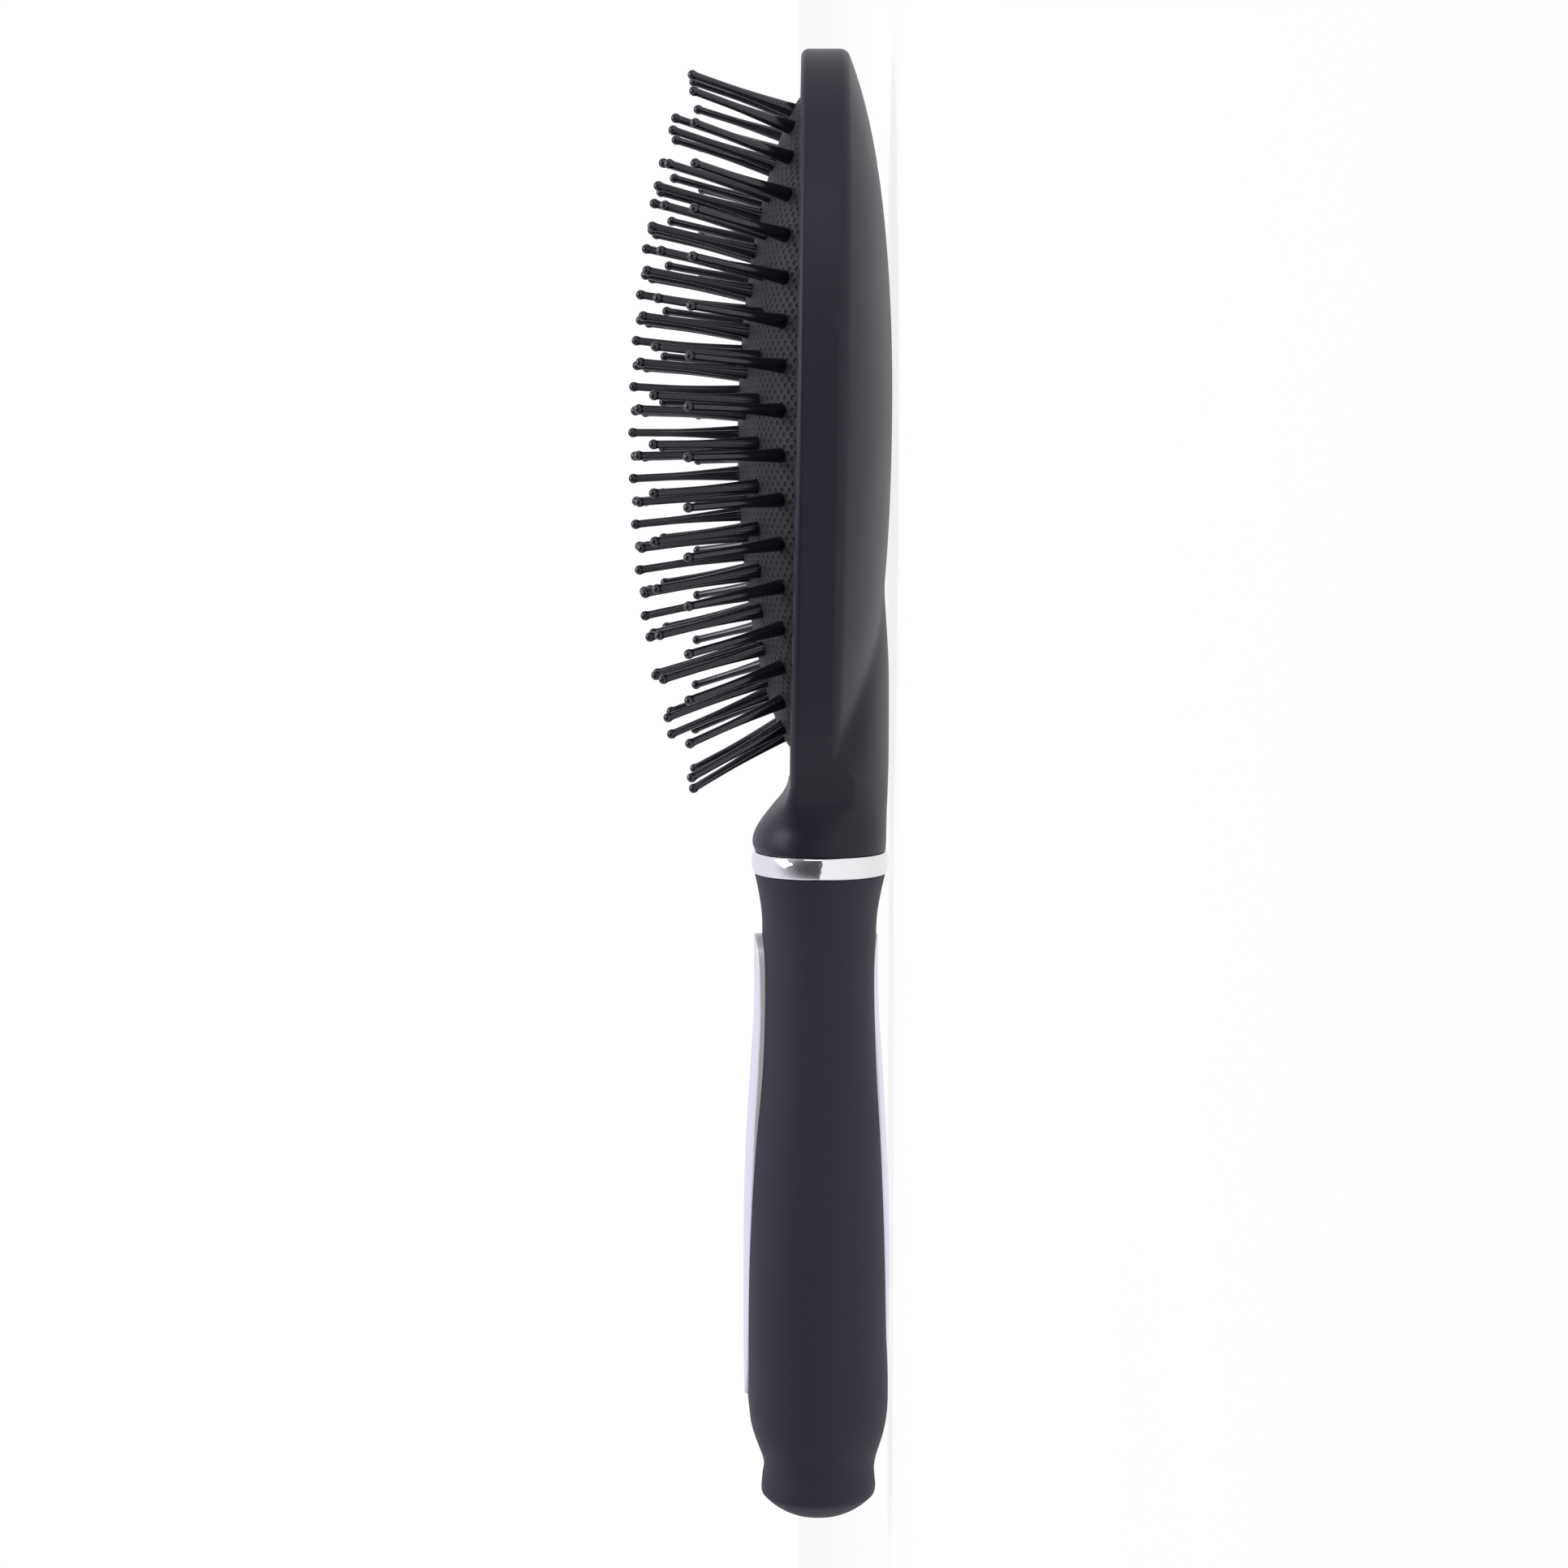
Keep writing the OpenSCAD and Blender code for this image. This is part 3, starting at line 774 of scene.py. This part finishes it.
def pin_points(foot, profile, sides):
    """One pin, standing on the dome and tilted outward by where its foot is."""
    u, v = foot
    q = (u / PAD_A) ** 2 + (v / PAD_B) ** 2
    steep = 2 * DOME_H * DOME_POWER * (1 - q) ** (DOME_POWER - 1)
    s = u / PAD_A
    along = FAN_LEN * s - FAN_BACK * s ** 6 * (1 - 0.45 * s)
    way = Vector((along, FAN_WID * steep * v / PAD_B ** 2, 1)).normalized()
    side = way.cross(Vector((0, 1, 0))).normalized()
    other = way.cross(side)
    root = np.array([u, v, float(dome_height(u, v))])
    turn = np.linspace(0, 2 * np.pi, sides, endpoint=False)
    ring = np.outer(np.cos(turn), side) + np.outer(np.sin(turn), other)
    local = root + profile[:, 1, None, None] * np.array(way) + profile[:, 0, None, None] * ring
    local = local.reshape(-1, 3)
    return head_frame(local[:, 0] + PAD_X - HEAD_X, local[:, 1], local[:, 2])


def build_pins(name, feet):
    profile = pin_profile()
    sides = 20
    points, faces = [], []
    for foot in feet:
        start = len(points) * len(profile) * sides
        points.append(pin_points(foot, profile, sides))
        faces += skin_faces(len(profile), sides, start=start)
    return add_piece(name, np.concatenate(points), faces, NYLON, smooth_angle=50)


# ---------------------------------------------------------------- ring and handle


def cross_section(x, middle, half_t, half_w, count=144):
    angles = np.linspace(0, 2 * np.pi, count, endpoint=False)
    c, s = oval_points(angles, SECTION_POWER)
    return np.stack([np.full(count, float(x)), half_w * c, middle + half_t * s], axis=-1)


def build_ring():
    """The ring, bulging a little between its two rounded edges."""
    edge_t = float(curve(HANDLE, GRIP_TOP, 1))
    edge_w = float(curve(HANDLE, GRIP_TOP, 2))
    rows = []
    for s in np.linspace(0, 1, 17):
        out = 0.1 + 0.4 * math.sin(math.pi * s) ** 0.8
        rows.append((GRIP_TOP + 0.06 + (RING_LEN - 0.12) * s, out))
    rows = [(GRIP_TOP, -0.15), (GRIP_TOP, -0.02)] + rows + [(NECK_END, -0.02), (NECK_END, -0.15)]
    rows += [(NECK_END, -RING_WALL), (GRIP_TOP, -RING_WALL)]
    rings = [cross_section(x, RING_MIDDLE, edge_t + out, edge_w + out) for x, out in rows]
    count = len(rings[0])
    faces = skin_faces(len(rings), count, caps=False) + closing_faces(len(rings), count)
    return add_piece("ring", np.concatenate(rings), faces, CHROME, smooth_angle=60)


def handle_rows():
    """Places along the handle and the share of its section there, foot first."""
    foot_half = float(curve(HANDLE, END_CORNER, 1))
    corner = math.asin(foot_half * 0.985 / END_RADIUS)
    rows = [(BRUSH_END + END_RADIUS * (1 - math.cos(a)), END_RADIUS * math.sin(a) / foot_half)
            for a in np.linspace(0.01, corner, 22)]
    rows += [(END_CORNER + 0.12, 0.9945), (END_CORNER + 0.35, 0.9995)]
    rows += [(x, 1.0) for x in np.arange(END_CORNER + 0.8, -98, 0.6)]
    rows += [(x, 1.0) for x in np.arange(-98, -26, 1.2)]
    rows += [(x, 1.0) for x in np.arange(-26, GRIP_TOP - 0.3, 0.6)]
    return rows


def seamed_angles():
    """Steps round the handle, with close ones over the parting line on both its sides."""
    near = [-0.8, -0.4, -0.15, 0.0, 0.15, 0.4, 0.8]
    steps = [a + side for side in (0, 180) for a in near]
    steps += [a for a in np.arange(2.5, 360, 2.5) if a != 180]
    return np.radians(np.sort(np.array(steps)))


def handle_ring(x, share):
    """A section of the handle, with a fine raised parting line at its widest places."""
    angles = seamed_angles()
    c, s = oval_points(angles, SECTION_POWER)
    off = np.degrees(np.abs(np.arcsin(np.clip(np.sin(angles), -1, 1))))
    seam = SEAM_HEIGHT * np.clip(1 - off / 0.4, 0, 1) * np.sign(c)
    half_t, half_w = float(curve(HANDLE, x, 1)) * share, float(curve(HANDLE, x, 2)) * share
    return np.stack([np.full(len(angles), float(x)), half_w * c + seam,
                     float(curve(HANDLE, x, 3)) + half_t * s], axis=-1)


def hole_cutter():
    """The hanging hole with rounded edges, through the handle's foot."""
    count = 64
    turn = np.linspace(0, 2 * np.pi, count, endpoint=False)
    low, high = 2.85, 21.05
    flare = 0.9
    rows = [(HOLE_R + flare, -1.0), (HOLE_R + flare, low - 0.02)]
    rows += [(HOLE_R + flare * (1 - math.sin(a)), low + flare * (1 - math.cos(a)))
             for a in np.radians([20, 45, 70, 90])]
    rows += [(HOLE_R + flare * (1 - math.sin(a)), high - flare * (1 - math.cos(a)))
             for a in np.radians([90, 70, 45, 20])]
    rows += [(HOLE_R + flare, high + 0.02), (HOLE_R + flare, 26.0)]
    rings = [np.stack([HOLE_X + r * np.cos(turn), r * np.sin(turn), np.full(count, z)], axis=-1)
             for r, z in rows]
    return np.concatenate(rings), skin_faces(len(rings), count)


def build_grip():
    """The grip with its parting line and the hanging hole."""
    rings = [handle_ring(x, share) for x, share in handle_rows()]
    rings += [rounded_end(handle_ring(GRIP_TOP, 1.0), x, shrink)
              for x, shrink in ((GRIP_TOP - 0.14, 0.06), (GRIP_TOP - 0.03, 0.2), (GRIP_TOP, 0.45))]
    piece = add_piece("grip", np.concatenate(rings), skin_faces(len(rings), len(rings[0])),
                      SOFT_BLACK, smooth_angle=45)
    return cut_with(piece, *hole_cutter())


def leaf_outline(leaf, grow, count=90):
    """Outline of an inlay in plan as two edges from its foot to its head."""
    s = (1 - np.cos(np.linspace(0, np.pi, count))) / 2
    x = INLAY_X0 + (INLAY_X1 - INLAY_X0) * s
    w = leaf[0] + (leaf[1] - leaf[0]) * np.sin(np.pi * s) ** 1.2
    w = w * np.maximum(1 - np.abs(2 * s - 1) ** 14, 0) ** 0.5
    dx, dw = np.gradient(x), np.gradient(w)
    run = np.hypot(dx, dw)
    x = x - grow * dw / run
    w = np.maximum(w + grow * dx / run, 0)
    w[0] = w[-1] = 0
    return x, w


def inlay_height(face, leaf, side, x, v, drop):
    """Height of an inlay's face, or of a place a given depth under it."""
    rise = curve(face, x) * section_drop(v, curve(HANDLE, x, 2) - leaf[2], SECTION_POWER)
    return curve(HANDLE, x, 3) + side * (rise - drop)


def build_inlay(name, face, leaf, side):
    """A plate with a rounded edge that follows the handle's curve."""
    edge = 0.3
    rows = [(0.0, 2.2), (0.0, 1.2), (0.0, 0.6)]
    rows += [(-edge * (1 - math.cos(a)), edge * (1 - math.sin(a)))
             for a in np.radians([0, 20, 40, 60, 75, 90])]
    rings = []
    for grow, drop in rows:
        x, w = leaf_outline(leaf, grow)
        px = np.concatenate([x, x[-2:0:-1]])
        pv = np.concatenate([w, -w[-2:0:-1]])
        rings.append(np.stack([px, pv, inlay_height(face, leaf, side, px, pv, drop)], axis=-1))
    count = len(rings[0])
    faces = skin_faces(len(rings), count, caps=False)
    faces.append(tuple(range(count)))
    # the face is a grid between the two sides of the last ring
    across, n, start = 18, len(x), (len(rows) - 1) * count
    inner = []
    grid = np.zeros((n, across + 1), int)
    for i in range(n):
        for k in range(across + 1):
            if k == 0 or i in (0, n - 1):
                grid[i, k] = start + i
            elif k == across:
                grid[i, k] = start + 2 * n - 2 - i
            else:
                grid[i, k] = len(rows) * count + len(inner)
                v = w[i] * (1 - 2 * k / across)
                inner.append([x[i], v, float(inlay_height(face, leaf, side, x[i], v, 0.0))])
    for i in range(n - 1):
        for k in range(across):
            loop = [grid[i, k], grid[i + 1, k], grid[i + 1, k + 1], grid[i, k + 1]]
            corners = [a for m, a in enumerate(loop) if a != loop[m - 1]]
            if len(corners) > 2:
                faces.append(tuple(corners))
    piece = add_piece(name, np.concatenate(rings + [np.array(inner)]), faces, SILVER,
                      smooth_angle=60)
    map_plate(piece.data, (len(rows) - 2) * count)
    return piece


def map_plate(mesh, first_of_face):
    """Maps an inlay by its place along the handle, and by 0 on its edge where the plate stands
    proud toward the ring, which takes a painted shade, and 1 on the lacquer."""
    layer = mesh.uv_layers.new(name="plate")
    corners = np.array([loop.vertex_index for loop in mesh.loops])
    places = np.array([vertex.co.x for vertex in mesh.vertices])[corners] / MM
    # 0 marks the edge that takes the painted shade, 1 the lacquer of the face
    lacquer = np.maximum(corners >= first_of_face, 1 - smooth_step(-60, -52, places))
    layer.data.foreach_set("uv", np.stack([places, lacquer], axis=-1).ravel())


# ---------------------------------------------------------------- stage


def build_stage():
    """A sheet of white paper under even light, the same to the camera and to the brush."""
    paper, shader = new_material("floor_paper", (0.14, 0.14, 0.14), 0.7, specular=0.0)
    tooth = object_noise(paper, 30, detail=3)
    link(paper, mix_colors(paper, tooth, (0.135, 0.135, 0.135), (0.145, 0.145, 0.145)),
         shader.inputs["Base Color"])
    shader.inputs["Emission Color"].default_value = (1, 1, 1, 1)
    shader.inputs["Emission Strength"].default_value = 0.86
    size, level = 4000.0, -0.05
    corners = [(-size, -size, level), (size, -size, level), (size, size, level),
               (-size, size, level)]
    add_piece("floor", corners, [(0, 1, 2, 3)], paper)


def add_light(name, spot, target, size, power):
    """A soft rectangular light, its size in metres and its power in watts."""
    data = bpy.data.lights.new(name, "AREA")
    data.shape = "RECTANGLE"
    data.size, data.size_y = size
    data.energy = power
    light = bpy.data.objects.new(name, data)
    light.location = spot
    light.rotation_euler = (Vector(target) - Vector(spot)).to_track_quat("-Z", "Y").to_euler()
    bpy.context.collection.objects.link(light)


def build_lights():
    """A white studio that dims smoothly toward the camera's side, with a white backdrop."""
    world = bpy.data.worlds.new("studio")
    bpy.context.scene.world = world
    world.use_nodes = True
    way = add_node(world, "ShaderNodeTexCoord")
    split = add_node(world, "ShaderNodeSeparateXYZ")
    link(world, way.outputs["Generated"], split.inputs["Vector"])
    room = spread(world, split.outputs["Y"], -0.95, 0.15, 0.09, 0.92, kind="SMOOTHSTEP")
    light = add_node(world, "ShaderNodeBackground", Color=(0.93, 0.92, 1.0, 1))
    link(world, room, light.inputs["Strength"])
    backdrop = world.node_tree.nodes["Background"]
    backdrop.inputs["Color"].default_value = (1, 1, 1, 1)
    backdrop.inputs["Strength"].default_value = 1.05
    path = add_node(world, "ShaderNodeLightPath")
    mix = add_node(world, "ShaderNodeMixShader")
    link(world, path.outputs["Is Camera Ray"], mix.inputs["Fac"])
    link(world, light.outputs["Background"], mix.inputs[1])
    link(world, backdrop.outputs["Background"], mix.inputs[2])
    link(world, mix.outputs["Shader"], world.node_tree.nodes["World Output"].inputs["Surface"])
    add_light("key", (0.25, -0.20, 0.75), (0.0, 0.0, 0.01), (0.6, 0.35), 3.0)
    add_light("edge_strip", (0.42, -0.40, 0.10), (0.05, 0.0, 0.03), (0.05, 0.30), 0.35)


# ---------------------------------------------------------------- put together


def main():
    build_stage()
    build_lights()
    head = build_head()
    cushion = build_cushion()
    pins = {
        "pins_outer_ring": build_pins("outer_pins_look", ring_feet(EDGE_GAP, 35, 0.5)),
        "pins_second_ring": build_pins("second_pins_look", ring_feet(EDGE_GAP + RING_GAP, 30, 0)),
        "pins_third_ring": build_pins("third_pins_look", ring_feet(EDGE_GAP + 2 * RING_GAP, 25, 0)),
        "pins_centre_rows": build_pins("centre_pins_look", centre_feet()),
    }
    ring = build_ring()
    grip = build_grip()
    front = build_inlay("front_leaf", FRONT_FACE, FRONT_LEAF, 1)
    back = build_inlay("back_leaf", BACK_FACE, BACK_LEAF, -1)

    rides = [(head, "root", ["head_shell"], "soft_black"),
             (cushion, "root", ["air_cushion"], "cushion_rubber"),
             (ring, "root", ["bright_ring"], "ring_chrome"),
             (grip, "root", ["handle_grip"], "soft_black"),
             (front, "root", ["front_inlay"], "inlay_silver"),
             (back, "root", ["back_inlay"], "inlay_silver")]
    bodies = {"pins_outer_ring": "outer_pins", "pins_second_ring": "second_pins",
              "pins_third_ring": "third_pins", "pins_centre_rows": "centre_pins"}
    rides += [(piece, bodies[node], [node], "pin_nylon") for node, piece in pins.items()]
    for piece, body, nodes, slot in rides:
        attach(piece, body)
        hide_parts(*nodes)
    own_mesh(cushion)
    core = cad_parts["handle_core"]
    for slot in core.material_slots:
        slot.material = CORE


main()
